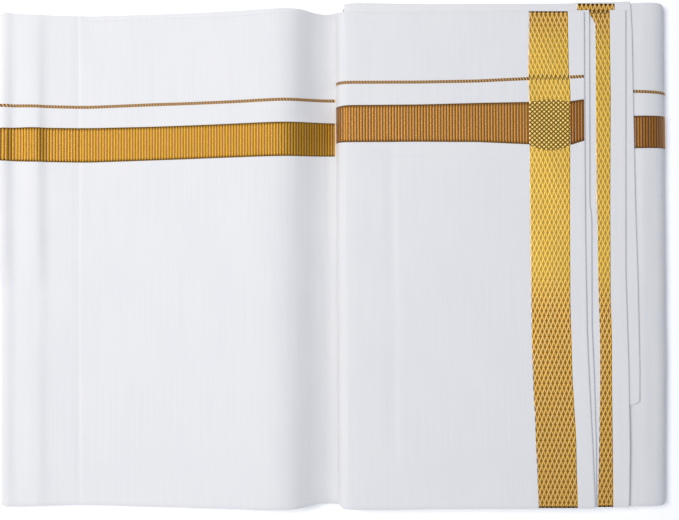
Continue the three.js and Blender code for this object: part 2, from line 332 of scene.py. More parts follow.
@dataclass(frozen=True)
class PlainWeave:
    """Cotton threads that pass over and under each other."""

    thread: float = 0.36

    def height(self, across: Term, along: Term) -> Term:
        """The thread that is on top: a bump along it and round across it.

        Args:
            across, along: The place in the weave, in metres.

        Returns:
            The height, from 0 to 1.
        """
        u = across / (self.thread * MM)
        v = along / (self.thread * MM)
        over = fract((floor(u) + floor(v)) / 2.0) * 2.0
        return over * (1.0 - wave(u)) + (1.0 - over) * (1.0 - wave(v))


@dataclass(frozen=True)
class RibWeave:
    """Gold floats that bead along ribs across a band."""

    rib: float = 1.85
    bead: float = 0.68

    def crest(self, along: Term) -> Term:
        """1 on the middle of a rib and 0 between two, along the band in metres."""
        return wave(along / (self.rib * MM))

    def bead_height(self, along: Term, across: Term) -> Term:
        """The beads, half a step apart from one rib to the next.

        Args:
            along, across: The place in the band, in metres.

        Returns:
            The height, from 0 to 1.
        """
        odd = fract(floor(along / (self.rib * MM) + 0.5) / 2.0)
        return wave(across / (self.bead * MM) + odd)


@dataclass(frozen=True)
class DiamondWeave:
    """Two sets of slanting lines that cross in diamonds, in columns across and rows along."""

    def nearness(self, column: Term, row: Term) -> Term:
        """How far a place is from the nearest line: 0 on it and a half in the middle of a diamond.

        Args:
            column, row: The place, where a diamond is 1 wide and 1 high.

        Returns:
            The distance.
        """
        rising = size_of(fract(column + row + 0.5) - 0.5)
        falling = size_of(fract(column - row + 0.5) - 0.5)
        return least(rising, falling)


# ---------------------------------------------------------------------------------------------------
# Finishes


@dataclass(frozen=True)
class Cotton:
    """Bleached plain-weave cotton, calendered smooth, with faint streaks where a thread is thicker."""

    weave: PlainWeave = PlainWeave()
    light: Colour = srgb(230, 229, 228)
    shade: Colour = srgb(226, 226, 226)
    streak: Point = (1.3, 70.0)
    cloud: Point = (30.0, 50.0)

    def material(self) -> Material:
        """Threads over and under, with streaks along the cloth and broad faint clouds.

        Returns:
            The material.
        """
        nodes = Nodes("cotton")
        across, along = nodes.weave_place()
        threads = self.weave.height(across, along)
        streaks = nodes.noise(across / (self.streak[0] * MM), along / (self.streak[1] * MM))
        clouds = nodes.noise(across / (self.cloud[0] * MM), along / (self.cloud[1] * MM))
        tone = ease(streaks * 0.6 + clouds * 0.4, 0.36, 0.64)
        colour = nodes.blend(tone * 0.8 + threads * 0.2, self.shade, self.light)
        return nodes.finish(
            colour, threads * 0.7 + streaks * 0.3, 0.05,
            Roughness=0.85, Specular_IOR_Level=0.25, Sheen_Weight=0.05, Sheen_Roughness=0.5,
        )


@dataclass(frozen=True)
class RibbedGold:
    """Zari bands: gold floats on ribs, with brown silk between them and at the ends of the ribs."""

    name: str
    bright: Colour
    deep: Colour
    teeth: Colour = srgb(84, 48, 14)
    weave: RibWeave = RibWeave()
    thread: float = 0.42
    fleck: Point = (1.1, 0.6)
    tooth: Point = (0.9, 0.5)

    def material(self) -> Material:
        """Ribs, on a map of the way along the band and the distance from its nearer edge.

        Returns:
            The material.
        """
        nodes = Nodes(self.name)
        along, inside = nodes.weave_place()
        rib = self.weave.crest(along)
        bead = self.weave.bead_height(along, inside)
        edge = ease(inside, self.tooth[0] * MM, self.tooth[1] * MM) * ease(rib, 0.85, 0.5)
        stray = nodes.noise(along / (self.fleck[0] * MM), inside / (self.fleck[1] * MM), 1.0)
        gleam = ease(rib, 0.08, 0.66) * (bead * 0.5 + 0.5)
        tone = least(most(gleam + stray * 0.7 - 0.35, 0.0), 1.0)
        colour = nodes.blend(edge, nodes.blend(tone, self.deep, self.bright), self.teeth)
        threads = wave(inside / (self.thread * MM))
        return nodes.finish(
            colour, rib * (bead * 0.5 + 0.3) + threads * 0.2, 0.12,
            Roughness=0.45, Metallic=0.55, Specular_IOR_Level=0.5,
        )


@dataclass(frozen=True)
class BeadedGold:
    """The thin line beside a band: dark and light beads in turn, between two pale threads."""

    weave: RibWeave = RibWeave()
    bright: Colour = srgb(222, 174, 108)
    deep: Colour = srgb(58, 28, 8)
    pale: Colour = srgb(226, 204, 168)
    rim: Point = (0.85, 1.0)

    def material(self) -> Material:
        """Beads, on a map of the way along the line and the distance from its middle.

        Returns:
            The material.
        """
        nodes = Nodes("zari_line")
        along, off = nodes.weave_place()
        bead = self.weave.crest(along + off * 0.5)
        colour = nodes.blend(ease(bead, 0.4, 0.75), self.deep, self.bright)
        colour = nodes.blend(ease(size_of(off), self.rim[0] * MM, self.rim[1] * MM), colour, self.pale)
        return nodes.finish(colour, bead, 0.12, Roughness=0.6, Metallic=0.2)


@dataclass(frozen=True)
class LatticeGold:
    """The cross stripes: thin pale diamonds on gold with dark hearts, and dots where a band crosses.

    The map is in columns from the right side and rows from the front end. The dots fill the rows of
    the crossing, and bow outwards in the middle of the stripe. A dark thread runs in a zigzag where a
    thin line crosses, and another can run at the back end. Either end can have a row of dark dashes,
    where the dark ground between threads is deepened with painted shade at a fold. The middle rows
    carry a painted highlight, the key light's glare, and painted shade darkens a thin line down the
    right side.
    """

    name: str
    rows: float
    glare_rows: Point = (21.0, 46.0)
    crossing: Point | None = None
    bow: Point = (0.5, 0.25)
    middle_column: float = -4.5
    bow_columns: float = 4.8
    line_crossing: float | None = None
    zigzag: float = 0.0
    weave: DiamondWeave = DiamondWeave()
    dashes: Point = (1.0, 1.0)
    line: Colour = srgb(246, 202, 118)
    gold: Colour = srgb(200, 150, 44)
    ground: Colour = srgb(150, 98, 22)
    heart: Colour = srgb(112, 68, 14)
    # painted highlight: the pale gold of the key light's glare in the middle rows
    painted_glare: Colour = srgb(228, 190, 76)
    deep: Colour = srgb(40, 22, 4)
    dot: Colour = srgb(255, 230, 140)

    def diamonds(self, nodes: Nodes, column: Value, row: Value) -> tuple[bpy.types.NodeSocket, Value]:
        """The lattice: lines on threaded gold, with a painted highlight in the middle rows.

        Args:
            nodes: The material's nodes.
            column, row: The place on the map.

        Returns:
            The colour and the height.
        """
        near = self.weave.nearness(column, row)
        threads = wave(column * 8.0)
        stray = nodes.noise(column * 2.6, row * 8.0, 1.0)
        body = nodes.blend(threads * 0.5 + stray * 0.5, self.ground, self.gold)
        body = nodes.blend(ease(near, 0.3, 0.44) * 0.85, body, self.heart)
        colour = nodes.blend(ease(near, 0.15, 0.07), body, self.line)
        # painted highlight: the middle rows are blended towards a pale gold, standing in for the key
        # light's glare
        first, last = self.glare_rows
        flat = ease(row, first - 3.0, first + 3.0) * ease(row, last + 2.0, last - 2.0)
        colour = nodes.blend(flat * 0.5, colour, self.painted_glare)
        return colour, ease(near, 0.2, 0.06) * 0.8 + threads * 0.2

    def hatching(self, nodes: Nodes, column: Value, row: Value) -> tuple[bpy.types.NodeSocket, Value]:
        """The crossing's squares: a bright dot in each, and dark threads between them.

        Args:
            nodes: The material's nodes.
            column, row: The place on the map.

        Returns:
            The colour and the height.
        """
        small = self.weave.nearness(column * (DIAMOND_WIDTH / HATCH_WIDTH), row * HATCH_SHARE)
        colour = nodes.blend(ease(small, 0.14, 0.08) * 0.9, self.gold, self.deep)
        return nodes.blend(ease(small, 0.2, 0.3), colour, self.dot), ease(small, 0.1, 0.4)

    def material(self) -> Material:
        """The stripe, with its crossings, zigzags and dashes.

        Returns:
            The material.
        """
        nodes = Nodes(self.name)
        column, row = nodes.weave_place()
        colour, height = self.diamonds(nodes, column, row)
        if self.crossing:
            low, high = self.crossing
            off = (column - self.middle_column) / self.bow_columns
            bow = 1.0 - off * off
            above, below = row - low + bow * self.bow[0], high + bow * self.bow[1] - row
            inside = ease(above, -0.03, 0.03) * ease(below, -0.03, 0.03)
            hatched, dotted = self.hatching(nodes, column, row)
            colour = nodes.blend(inside, colour, hatched)
            height = inside * dotted + (1.0 - inside) * height
        if self.line_crossing:
            slant = size_of(fract(column) - 0.5)
            off = size_of(row - self.line_crossing - (slant - 0.25))
            colour = nodes.blend(ease(off, 0.13, 0.08) * 0.8, colour, self.deep)
        if self.zigzag:
            slant = size_of(fract(column) - 0.5) * (2.0 * self.zigzag)
            off = size_of(self.rows - 0.06 - row - slant)
            colour = nodes.blend(ease(off, 0.09, 0.05) * 0.9, colour, self.deep)
        # dark dashes at the fold ends: the dark ground between threads, deepened with painted shade
        dash = ease(wave(column), 0.3, 0.55)
        front, back = self.dashes
        ends = ease(row, 0.2, 0.16) * front + ease(row, self.rows - 0.2, self.rows - 0.16) * back
        colour = nodes.blend(ends * dash, colour, self.deep)
        # painted shade: a thin dark line down the stripe's right side
        colour = nodes.blend(ease(column, -0.16, -0.04) * 0.7, colour, self.deep)
        return nodes.finish(colour, height, 0.06, Roughness=0.4, Metallic=0.7)


# ---------------------------------------------------------------------------------------------------
# Meshes


def outline(columns: int, rows: int) -> tuple[Array, Array]:
    """The indices of a grid's outline, once round, against the clock seen from above.

    Args:
        columns: Stations from left to right.
        rows: Stations from front to back.

    Returns:
        The column and the row of each outline point.
    """
    i, j = np.arange(columns), np.arange(rows)
    column = np.concatenate([i, np.full(rows - 1, columns - 1), i[-2::-1], np.zeros(rows - 2, dtype=int)])
    row = np.concatenate([np.zeros(columns, dtype=int), j[1:], np.full(columns - 1, rows - 1), j[-2:0:-1]])
    return column, row


def shell_faces(columns: int, rows: int, levels: int) -> Array:
    """The quads of a closed shell: a top grid, a bottom grid, and rings between from the bottom up.

    Points are numbered top grid first, then bottom grid, then the rings.

    Args:
        columns, rows: The size of both grids.
        levels: How many rings stand between them.

    Returns:
        (quads, 4) point numbers, turned outwards.
    """
    top = np.arange(columns * rows).reshape(columns, rows)
    bottom = top + columns * rows
    i, j = outline(columns, rows)
    rings = 2 * columns * rows + np.arange(levels * len(i)).reshape(levels, len(i))
    side = np.vstack([bottom[i, j], rings, top[i, j]])
    after = np.roll(side, -1, axis=1)

    def quads(a: Array, b: Array, c: Array, d: Array) -> Array:
        """Four corner arrays as rows of four."""
        return np.stack([a, b, c, d], axis=-1).reshape(-1, 4)

    return np.vstack([
        quads(top[:-1, :-1], top[1:, :-1], top[1:, 1:], top[:-1, 1:]),
        quads(bottom[:-1, :-1], bottom[:-1, 1:], bottom[1:, 1:], bottom[1:, :-1]),
        quads(side[:-1], after[:-1], after[1:], side[1:]),
    ])


def shell(name: str, top: Array, bottom: Array, rings: Array, places: Array, spread: float,
          material: Material) -> bpy.types.Object:
    """A closed shell as an object.

    Args:
        name: The piece's name.
        top, bottom: (columns, rows, 3) points in millimetres.
        rings: (levels, outline, 3) points between them, from the bottom up.
        places: (columns, rows, 2) weave map of the top, which the bottom shares.
        spread: How far the weave map runs on down the side, in its own units.
        material: The piece's material.

    Returns:
        The object.
    """
    columns, rows = top.shape[:2]
    faces = shell_faces(columns, rows, len(rings))
    points = np.concatenate([top.reshape(-1, 3), bottom.reshape(-1, 3), rings.reshape(-1, 3)])
    i, j = outline(columns, rows)
    inner = places[np.clip(i, 1, columns - 2), np.clip(j, 1, rows - 2)]
    away = np.sign(places[i, j] - inner)
    shares = np.linspace(1, 0, len(rings) + 2)[1:-1, None, None]
    sides = places[i, j][None] + away[None] * shares * spread
    maps = np.concatenate([places.reshape(-1, 2), places.reshape(-1, 2), sides.reshape(-1, 2)])
    mesh = bpy.data.meshes.new(name)
    mesh.vertices.add(len(points))
    mesh.vertices.foreach_set("co", (points * MM).astype(np.float32).ravel())
    mesh.loops.add(faces.size)
    mesh.loops.foreach_set("vertex_index", faces.astype(np.int32).ravel())
    mesh.polygons.add(len(faces))
    mesh.polygons.foreach_set("loop_start", np.arange(0, faces.size, 4, dtype=np.int32))
    mesh.update(calc_edges=True)
    mesh.polygons.foreach_set("use_smooth", np.ones(len(faces), dtype=bool))
    layer = mesh.uv_layers.new(name=WEAVE_MAP)
    layer.uv.foreach_set("vector", maps[faces.ravel()].astype(np.float32).ravel())
    mesh.materials.append(material)
    mesh.validate()
    piece = bpy.data.objects.new(name, mesh)
    bpy.context.scene.collection.objects.link(piece)
    return piece


def normals_of(grid: Array) -> Array:
    """A grid's normals: the cross product of its two directions, made 1 long.

    Args:
        grid: (columns, rows, 3) points.

    Returns:
        (columns, rows, 3) directions, outwards.
    """
    crossed = np.cross(np.gradient(grid, axis=0), np.gradient(grid, axis=1))
    return crossed / np.linalg.norm(crossed, axis=-1, keepdims=True)


def outward_of(grid: Array) -> Array:
    """The direction out of a grid's outline, from each outline point's inner neighbour.

    Args:
        grid: (columns, rows, 3) points.

    Returns:
        (outline, 3) directions.
    """
    columns, rows = grid.shape[:2]
    i, j = outline(columns, rows)
    step = grid[i, j] - grid[np.clip(i, 1, columns - 2), np.clip(j, 1, rows - 2)]
    return step / np.linalg.norm(step, axis=-1, keepdims=True)


def graded(start: float, end: float, step: float, close_ups: Sequence[CloseUp] = ()) -> Array:
    """Stations a step apart, and closer together round each close-up.

    The stations are equally far apart in the running sum of 1 / step, where a close-up raises
    1 / step in a bell.

    Args:
        start, end: The first and last stations.
        step: The usual distance.
        close_ups: Each place, how far it reaches, and the distance there.

    Returns:
        The stations, in order.
    """
    line = np.linspace(start, end, 6001)
    density = np.full_like(line, 1 / step)
    for place, reach, fine in close_ups:
        density = np.maximum(density, np.exp(-((line - place) / reach) ** 4) / fine)
    travelled = np.concatenate([[0], np.cumsum((density[1:] + density[:-1]) / 2 * np.diff(line))])
    count = math.ceil(travelled[-1])
    return np.interp(np.linspace(0, travelled[-1], count + 1), travelled, line)


# ---------------------------------------------------------------------------------------------------
# Tables


class Edge(NamedTuple):
    """Where a leaf's front and back edges lie, at a place across the pack."""

    x: float
    front: float
    back: float


class End(NamedTuple):
    """Where a leaf's left and right ends lie, at a place from front to back."""

    y: float
    start: float
    end: float


class BorderPlace(NamedTuple):
    """A band's front and back edges and its line's middle, at a place across the pack."""

    x: float
    front: float
    back: float
    line: float


class StripeSides(NamedTuple):
    """A stripe's left and right sides, at a place from front to back."""

    y: float
    left: float
    right: float


def read(rows: Sequence[NamedTuple], column: str, places: Array | float, softness: float = 0.0) -> Array:
    """A table's column at places along its first column: straight between rows, with soft corners.

    Args:
        rows: The table.
        column: The column's name.
        places: Where to read it.
        softness: How far to each side it is averaged, under a cosine window.

    Returns:
        The column's value at each place.
    """
    keys = [row[0] for row in rows]
    held = [getattr(row, column) for row in rows]
    shifts = np.linspace(-1, 1, 9)[1:-1]
    weights = (1 + np.cos(math.pi * shifts)) / np.sum(1 + np.cos(math.pi * shifts))
    return sum(w * np.interp(places + softness * shift, keys, held) for w, shift in zip(weights, shifts))


@dataclass(frozen=True)
class Section:
    """A leaf's section across the pack, from left to right."""

    points: tuple[Point, ...]
    steps: int = 60

    @cached_property
    def curve(self) -> Array:
        """A centripetal Catmull-Rom curve through the points.

        Its knots lie apart by the square root of the distance, and each end is carried on straight.

        Returns:
            (steps, 2) places.
        """
        knots = np.array(self.points, dtype=float)
        run = np.vstack([2 * knots[0] - knots[1], knots, 2 * knots[-1] - knots[-2]])
        p0, p1, p2, p3 = (run[k:k + len(knots) - 1, None, :] for k in range(4))
        d0, d1, d2 = (
            np.sqrt(np.linalg.norm(b - a, axis=-1, keepdims=True))
            for a, b in ((p0, p1), (p1, p2), (p2, p3))
        )
        leave = ((p1 - p0) / d0 - (p2 - p0) / (d0 + d1) + (p2 - p1) / d1) * d1
        arrive = ((p2 - p1) / d1 - (p3 - p1) / (d1 + d2) + (p3 - p2) / d2) * d1
        t = np.linspace(0, 1, self.steps, endpoint=False)[None, :, None]
        path = (
            (2 * t**3 - 3 * t**2 + 1) * p1 + (t**3 - 2 * t**2 + t) * leave
            + (3 * t**2 - 2 * t**3) * p2 + (t**3 - t**2) * arrive
        )
        return np.vstack([path.reshape(-1, 2), knots[-1]])

    @cached_property
    def travelled(self) -> Array:
        """The way along the curve to each of its points."""
        return np.concatenate([[0], np.cumsum(np.linalg.norm(np.diff(self.curve, axis=0), axis=1))])

    @property
    def length(self) -> float:
        """The way along the whole section."""
        return float(self.travelled[-1])

    def at(self, way: Array) -> tuple[Array, Array]:
        """x and z at a way along the section."""
        return tuple(np.interp(way, self.travelled, self.curve[:, k]) for k in range(2))

    def facing(self, way: Array) -> tuple[Array, Array]:
        """The outward direction: the curve's own direction, turned a quarter to the left.

        Args:
            way: Ways along the section.

        Returns:
            Its x and z.
        """
        slope = np.gradient(self.curve, axis=0)
        slope = slope / np.linalg.norm(slope, axis=1, keepdims=True)
        return np.interp(way, self.travelled, -slope[:, 1]), np.interp(way, self.travelled, slope[:, 0])

    def way_to(self, x: Array | float) -> Array | float:
        """The way along the section to a place across the pack, between its leftmost and rightmost."""
        rising = slice(np.argmin(self.curve[:, 0]), np.argmax(self.curve[:, 0]) + 1)
        return np.interp(x, self.curve[rising, 0], self.travelled[rising])


# ---------------------------------------------------------------------------------------------------
# Relief on a leaf


@dataclass(frozen=True)
class Crease:
    """A soft trough along a line, or a ridge where its depth is below zero.

    Across the line its depth falls off as a bell, whose width may differ from side to side. Along the
    line it comes and goes as the fourth root of a sine, and wanders a little.
    """

    start: Point
    end: Point
    depth: float
    left: float
    right: float
    wander: float = 0.2

    def height(self, x: Array, y: Array) -> Array:
        """What it adds to a leaf's height.

        Args:
            x, y: Places on the leaf.

        Returns:
            The height at each, in millimetres.
        """
        (x0, y0), (x1, y1) = self.start, self.end
        length = math.hypot(x1 - x0, y1 - y0)
        along = ((x - x0) * (x1 - x0) + (y - y0) * (y1 - y0)) / length**2
        off = ((x - x0) * (y1 - y0) - (y - y0) * (x1 - x0)) / length
        off = off + self.wander * np.sin(along * 9.0 + x0)
        width = np.where(off < 0, self.left, self.right)
        ends = np.sin(math.pi * np.clip(along, 0, 1)) ** 0.25
        uneven = 1 + 0.25 * np.sin(along * 7.0 + y0)
        return -self.depth * np.exp(-((off / width) ** 2)) * ends * uneven


@dataclass(frozen=True)
class Swell:
    """A leaf's slow rise and fall: waves across, along and slantwise, whose heights add up."""

    height: float = 0.18
    across: float = 61.0
    along: float = 83.0
    phase: float = 0.0

    def at(self, x: Array, y: Array) -> Array:
        """The three waves' sum.

        Args:
            x, y: Places on the leaf.

        Returns:
            The height at each, in millimetres.
        """
        turn = 2 * math.pi
        first = np.sin(turn * x / self.across + self.phase) * np.cos(turn * y / (2.3 * self.along))
        second = np.sin(turn * y / self.along + 1.7 * self.phase + 0.02 * x)
        third = np.sin(turn * (x + 0.6 * y) / (0.57 * self.across) - self.phase)
        return self.height * (0.5 * first + 0.35 * second + 0.25 * third)


@dataclass(frozen=True)
class PlyStep:
    """A line beside a leaf's back edge, where the upper ply stops and the lower one goes on."""

    inset: float
    drop: float
    first: float
    last: float
    soft: float = 0.35

    def height(self, distance: Array, place: Array) -> Array:
        """What it adds to a leaf's height.

        Args:
            distance: How far each place is from the edge.
            place: How far along the edge it is.

        Returns:
            The height at each, in millimetres.
        """
        inset = self.inset + 0.25 * np.sin(place * 0.07)
        beyond = ease(distance, inset + self.soft, inset - self.soft)
        shown = ease(place, self.first - 6, self.first + 6) * ease(place, self.last + 6, self.last - 6)
        return -self.drop * beyond * shown


# ---------------------------------------------------------------------------------------------------
# Leaves


def dress(piece: bpy.types.Object, node: str) -> bpy.types.Object:
    """Tells the frame what a piece stands for.

    Args:
        piece: The piece.
        node: The CAD node that it replaces.

    Returns:
        The piece.
    """
    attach(piece, BODY)
    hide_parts(node)
    mesh = piece.data
    LOG.info("%s: %d triangles", piece.name, len(mesh.loops) - 2 * len(mesh.polygons))
    return piece


def woven(node: str, ground: Array, lift: Array, places: Array, material: Material) -> bpy.types.Object:
    """A border's closed shell on a leaf, whose underside lies a little in the cotton.

    Args:
        node: The CAD node that it replaces.
        ground: (columns, rows, 3) points of the leaf's surface, in millimetres.
        lift: How far its upper side stands out from them.
        places: (columns, rows, 2) weave map.
        material: Its gold.

    Returns:
        The piece.
    """
    normals = normals_of(ground)
    top = ground + lift * normals
    bottom = ground - BORDER_SINK * normals
    i, _ = outline(*ground.shape[:2])
    piece = shell(node, top, bottom, np.zeros((0, len(i), 3)), places, 0.0, material)
    return dress(piece, node)


def corner_inset(distance: Array, radius: float) -> Array:
    """How far an edge draws in near a leaf's end, so that its corner is an arc."""
    short = np.clip(radius - distance, 0, radius)
    return radius - np.sqrt(radius**2 - short**2)


@dataclass
class Leaf:
    """One turn of the folded cloth, which shows as a page of the open pack."""

    node: str
    section: Section
    edges: tuple[Edge, ...]
    ends: tuple[End, ...]
    across: Array
    rows: Array
    start_corner: float = 0.0
    end_corner: float = 0.0
    end_softness: float = 6.0
    creases: tuple[Crease, ...] = ()
    steps: tuple[PlyStep, ...] = ()
    swell: Swell = Swell()
    fold: float = 0.28
    close_ups: tuple[CloseUp, ...] = ()

    def limits(self, way: Array) -> tuple[Array, Array]:
        """The front and back edges, with round corners.

        Args:
            way: Ways along the section.

        Returns:
            y of each edge there.
        """
        x, _ = self.section.at(way)
        first, last = self.section.points[0][0], self.section.points[-1][0]
        inset = corner_inset(np.abs(x - first), self.start_corner)
        inset = inset + corner_inset(np.abs(last - x), self.end_corner)
        return read(self.edges, "front", x, 6) + inset, read(self.edges, "back", x, 6) - inset

    def relief(self, x: Array, y: Array, back: Array) -> Array:
        """The slow waves, the creases and the ply lines together.

        Args:
            x, y: Places on the leaf.
            back: y of the back edge at each.

        Returns:
            The height at each, in millimetres.
        """
        total = self.swell.at(x, y)
        total = total + sum(crease.height(x, y) for crease in self.creases)
        return total + sum(step.height(back - y, x) for step in self.steps)

    def pull(self, y: Array) -> tuple[Array, Array]:
        """How far the section's two ends are pulled across, to meet the table of ends.

        Args:
            y: Places from front to back.

        Returns:
            The left end's shift and the right end's.
        """
        first, last = self.section.points[0][0], self.section.points[-1][0]
        to_start = read(self.ends, "start", y, self.end_softness) - first
        return to_start, read(self.ends, "end", y, self.end_softness) - last

    def surface(self, way: Array, y: Array) -> Array:
        """The leaf's upper surface.

        Its section is stretched a little, so that its ends meet the tables, and the relief stands
        along the section's outward direction.

        Args:
            way: Ways along the section.
            y: Places from front to back, of the same shape.

        Returns:
            Points in millimetres, with one axis more.
        """
        x, z = self.section.at(way)
        first, last = self.section.points[0][0], self.section.points[-1][0]
        to_start, to_end = self.pull(y)
        x = x + to_start + (to_end - to_start) * (x - first) / (last - first)
        out_x, out_z = self.section.facing(way)
        height = self.relief(x, y, self.limits(way)[1])
        return np.stack([x + out_x * height, y, z + out_z * height], axis=-1)

    def way_at(self, x: Array, y: Array) -> Array:
        """The way along the section to a place on the leaf: the pull undone, then read off.

        Args:
            x, y: Places on the leaf.

        Returns:
            The way to each.
        """
        first, last = self.section.points[0][0], self.section.points[-1][0]
        to_start, to_end = self.pull(y)
        share = (x - first - to_start) / (last - first + to_end - to_start)
        return self.section.way_to(x - (to_start + (to_end - to_start) * share))

    def grid(self) -> tuple[Array, Array]:
        """The leaf's own grid.

        Returns:
            Its ways along the section and its places from front to back.
        """
        way = np.broadcast_to(self.across[:, None], (len(self.across), len(self.rows)))
        front, back = self.limits(self.across)
        y = front[:, None] + (back - front)[:, None] * self.rows[None, :]
        return way, y

    def build(self, material: Material) -> bpy.types.Object:
        """The leaf's shell, whose sides bulge in two folds, one over the other.

        Args:
            material: The cotton.

        Returns:
            The piece.
        """
        way, y = self.grid()
        top = self.surface(way, y)
        normals = normals_of(top)
        bottom = top - LEAF_WALL * normals
        i, j = outline(*top.shape[:2])
        out = outward_of(top)
        share = np.linspace(1, 0, 12)[1:-1, None, None]
        bulge = self.fold * np.sqrt(np.abs(np.sin(2 * math.pi * share)) + 1e-6)
        rings = top[i, j] - LEAF_WALL * share * normals[i, j] + bulge * out
        places = np.stack([way, y], axis=-1) * MM
        piece = shell(self.node.replace("_leaf", "_cloth"), top, bottom, rings, places, 1.5 * MM, material)
        return dress(piece, self.node)

    def flat_size(self) -> tuple[float, float]:
        """The leaf's flat width and length, in metres."""
        front, back = self.limits(self.across)
        return self.section.length * MM, float(np.mean(back - front)) * MM


@dataclass
class Border:
    """Gold that is woven along a leaf, from one way along its section to another."""

    node: str
    leaf: Leaf
    places: tuple[BorderPlace, ...]
    first: float
    last: float
    weave: RibWeave = RibWeave()
    steps: int = 6

    def stations(self) -> tuple[Array, Array, Array]:
        """A few stations to each rib, and more in the leaf's close-ups.

        Returns:
            The way to each, its place across the pack, and the rib's crest there.
        """
        way = graded(self.first, self.last, self.weave.rib / self.steps, self.leaf.close_ups)
        x, _ = self.leaf.section.at(way)
        return way, x, self.weave.crest(way * MM)


@dataclass
class Band(Border):
    """A ribbed gold band along a leaf."""

    rib_height: float = 0.12
    tooth: float = 0.3
    rows: int = 10

    def build(self, material: Material) -> bpy.types.Object:
        """The band's shell: ribs across it, and teeth along both edges where a rib ends.

        Args:
            material: Its gold.

        Returns:
            The piece.
        """
        way, x, crest = self.stations()
        front = read(self.places, "front", x, 6) - self.tooth * crest
        back = read(self.places, "back", x, 6) + self.tooth * crest
        share = np.linspace(0, 1, self.rows + 1)
        y = front[:, None] + (back - front)[:, None] * share[None, :]
        ways = np.broadcast_to(way[:, None], y.shape)
        lift = BORDER_LIFT + self.rib_height * crest[:, None, None]
        places = np.stack([ways, np.minimum(y - y[:, :1], y[:, -1:] - y)], axis=-1) * MM
        return woven(self.node, self.leaf.surface(ways, y), lift, places, material)


@dataclass
class ThinLine(Border):
    """A beaded gold line along a leaf."""

    width: float = 2.2
    thickness: float = 0.3
    rim: float = 0.03
    columns: int = 7

    def build(self, material: Material) -> bpy.types.Object:
        """The line's shell: round across, and beaded along.

        Args:
            material: Its gold.

        Returns:
            The piece.
        """
        way, x, crest = self.stations()
        share = np.linspace(-1, 1, self.columns)
        half = self.width / 2 * (0.85 + 0.15 * crest)
        y = read(self.places, "line", x, 6)[:, None] + half[:, None] * share[None, :]
        ways = np.broadcast_to(way[:, None], y.shape)
        round_off = np.sqrt(1 - 0.9 * share**2)[None, :] * (0.6 + 0.4 * crest[:, None])
        lift = (self.rim + self.thickness * round_off)[..., None]
        middle = self.columns // 2
        places = np.stack([ways, y - y[:, middle:middle + 1]], axis=-1) * MM
        return woven(self.node, self.leaf.surface(ways, y), lift, places, material)


@dataclass
class Stripe:
    """A latticed gold stripe from the front of a leaf to its back, or between two places."""

    node: str
    leaf: Leaf
    sides: tuple[StripeSides, ...]
    near: float
    far: float
    column_step: float = 0.36
    row_step: float = 0.72
    weave: DiamondWeave = DiamondWeave()
    relief: float = 0.05
    softness: float = 5.0

    def build(self, material: Material) -> bpy.types.Object:
        """The stripe's shell: raised diamonds on a flat ground.

        Args:
            material: Its gold.

        Returns:
            The piece.
        """
        y = graded(self.near, self.far, self.row_step)
        left, right = (read(self.sides, side, y, self.softness) for side in ("left", "right"))
        share = np.linspace(0, 1, math.ceil(np.max(right - left) / self.column_step) + 1)
        x = left[None, :] + (right - left)[None, :] * share[:, None]
        ys = np.broadcast_to(y[None, :], x.shape)
        column = (x - right[None, :]) / DIAMOND_WIDTH
        row = (ys - self.near) / DIAMOND_HEIGHT
        raised = ease(self.weave.nearness(column, row), 0.24, 0.1)
        lift = (BORDER_LIFT + self.relief * raised)[..., None]
        places = np.stack([column, row], axis=-1)
        ground = self.leaf.surface(self.leaf.way_at(x, ys), ys)
        return woven(self.node, ground, lift, places, material)


@dataclass
class Stack:
    """Hidden panels on each other, whose folded edges show as fine ridges round the sides.

    Each panel shows two folds. A ring of the side is the outline of the floor blended with that of the
    top, moved out by the fold it is on: the square root of a sine, less a slow wave of its own.
    """

    node: str
    top: Array
    floor: float
    panels: int
    left: float
    right: float
    levels: int = 4
    groove: float = 0.55
    stray: float = 0.7
    seed: int = 1

    def strays(self, perimeter: Array) -> Array:
        """A slow wave round the stack for each fold: three sines, whose phases and sizes are drawn.

        Args:
            perimeter: The way round the stack to each outline point.

        Returns:
            (folds, outline) distances in millimetres.
        """
        count = (self.panels * 2, 3)
        rng = np.random.default_rng(self.seed)
        turn = 2 * math.pi / (perimeter[-1] + 1)
        waves = rng.integers(1, 9, count)
        phases = rng.uniform(0, 2 * math.pi, count)
        sizes = rng.uniform(0.1, 1.0, count) * self.stray / 3
        sines = np.sin(waves[..., None] * turn * perimeter + phases[..., None])
        return np.sum(sizes[..., None] * sines, axis=1)

    def build(self, material: Material) -> bpy.types.Object:
        """The stack's shell, flat underneath.

        Args:
            material: The cotton.

        Returns:
            The piece.
        """
        columns, rows = self.top.shape[:2]
        bottom = self.top.copy()
        middle = np.linspace(self.left, self.right, columns)
        bottom[..., 0] = middle[:, None]
        bottom[..., 2] = self.floor
        i, j = outline(columns, rows)
        low, high = bottom[i, j], self.top[i, j]
        out = np.zeros_like(low)
        out[:, 0] = (i == columns - 1).astype(float) - (i == 0)
        out[:, 1] = (j == rows - 1).astype(float) - (j == 0)
        out /= np.linalg.norm(out, axis=1, keepdims=True)
        folds = self.panels * 2
        share = np.arange(1, folds * self.levels) / (folds * self.levels)
        fold = np.floor(share * folds).astype(int)
        perimeter = np.concatenate([[0], np.cumsum(np.linalg.norm(np.diff(low, axis=0), axis=1))])
        depth = self.groove * np.where(fold % 2 == 0, 1.0, 0.6)
        bulge = np.sqrt(np.abs(np.sin(math.pi * share * folds)))
        move = self.strays(perimeter)[fold] + (depth * (bulge - 1))[:, None] - self.stray
        rings = low + (high - low) * share[:, None, None] + out * move[..., None]
        places = np.stack([self.top[..., 0], self.top[..., 1]], axis=-1) * MM
        piece = shell(self.node + "_folds", self.top, bottom, rings, places, 10 * MM, material)
        return dress(piece, self.node)


# ---------------------------------------------------------------------------------------------------
# The pack


